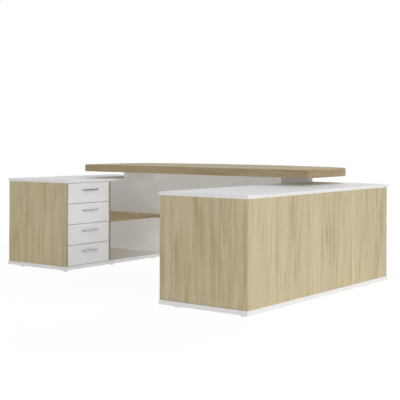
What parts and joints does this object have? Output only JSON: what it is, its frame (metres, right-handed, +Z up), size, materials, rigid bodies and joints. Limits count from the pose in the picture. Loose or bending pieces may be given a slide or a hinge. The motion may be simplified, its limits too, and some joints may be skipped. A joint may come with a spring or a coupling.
{
  "type": "executive desk",
  "caption": "U-shaped executive desk: bow-fronted oak worktop on risers between a long white-topped cabinet and a shorter one with drawers and an open bay.",
  "frame": {"origin": "on the floor, under the middle of the desk's bounding box", "axes": "+X along the worktop towards the long cabinet, +Y away from the person who sits at it, +Z up"},
  "size_m": [2.554, 1.9498, 0.75],
  "materials": {
    "oak_laminate": "satin laminate with a straight pale oak grain",
    "white_laminate": "satin white laminate on chipboard",
    "drawer_board": "matt white foil on chipboard",
    "hardboard": "painted hardboard",
    "satin_nickel": "satin nickel plate",
    "runner_steel": "zinc plated, light grey",
    "white_plastic": "moulded, fine matt"
  },
  "bodies": {
    "desk": {"left_base": "white_laminate", "left_top": "white_laminate", "left_far_end": "white_laminate", "left_riser": "white_laminate", "left_near_end": "oak_laminate", "left_outer_side": "oak_laminate", "left_divider": "oak_laminate", "left_feet": "white_plastic", "right_base": "white_laminate", "right_top": "white_laminate", "right_far_end": "white_laminate", "right_riser": "white_laminate", "right_near_end": "oak_laminate", "right_outer_side": "oak_laminate", "right_divider": "oak_laminate", "right_feet": "white_plastic", "left_shelf": "oak_laminate", "right_near_shelf": "oak_laminate", "right_far_shelf": "oak_laminate", "worktop": "oak_laminate", "modesty_panel": "white_laminate", "shelf_clips": "runner_steel", "outlet_sleeve": "white_plastic", "outlet_cap": "white_plastic", "drawer_1_cabinet_rails": "runner_steel", "drawer_2_cabinet_rails": "runner_steel", "drawer_3_cabinet_rails": "runner_steel", "drawer_4_cabinet_rails": "runner_steel"},
    "drawer_1": {"drawer_1_front": "white_laminate", "drawer_1_near_side": "drawer_board", "drawer_1_far_side": "drawer_board", "drawer_1_back": "drawer_board", "drawer_1_bottom": "hardboard", "drawer_1_handle": "satin_nickel", "drawer_1_rails": "runner_steel"},
    "drawer_2": {"drawer_2_front": "white_laminate", "drawer_2_near_side": "drawer_board", "drawer_2_far_side": "drawer_board", "drawer_2_back": "drawer_board", "drawer_2_bottom": "hardboard", "drawer_2_handle": "satin_nickel", "drawer_2_rails": "runner_steel"},
    "drawer_3": {"drawer_3_front": "white_laminate", "drawer_3_near_side": "drawer_board", "drawer_3_far_side": "drawer_board", "drawer_3_back": "drawer_board", "drawer_3_bottom": "hardboard", "drawer_3_handle": "satin_nickel", "drawer_3_rails": "runner_steel"},
    "drawer_4": {"drawer_4_front": "white_laminate", "drawer_4_near_side": "drawer_board", "drawer_4_far_side": "drawer_board", "drawer_4_back": "drawer_board", "drawer_4_bottom": "hardboard", "drawer_4_handle": "satin_nickel", "drawer_4_rails": "runner_steel"}
  },
  "joints": [
    {"name": "drawer_1_slide", "type": "slide", "parent": "desk", "child": "drawer_1", "axis": [1, 0, 0], "range_m": [0, 0.38]},
    {"name": "drawer_2_slide", "type": "slide", "parent": "desk", "child": "drawer_2", "axis": [1, 0, 0], "range_m": [0, 0.38]},
    {"name": "drawer_3_slide", "type": "slide", "parent": "desk", "child": "drawer_3", "axis": [1, 0, 0], "range_m": [0, 0.38]},
    {"name": "drawer_4_slide", "type": "slide", "parent": "desk", "child": "drawer_4", "axis": [1, 0, 0], "range_m": [0, 0.38]}
  ]
}
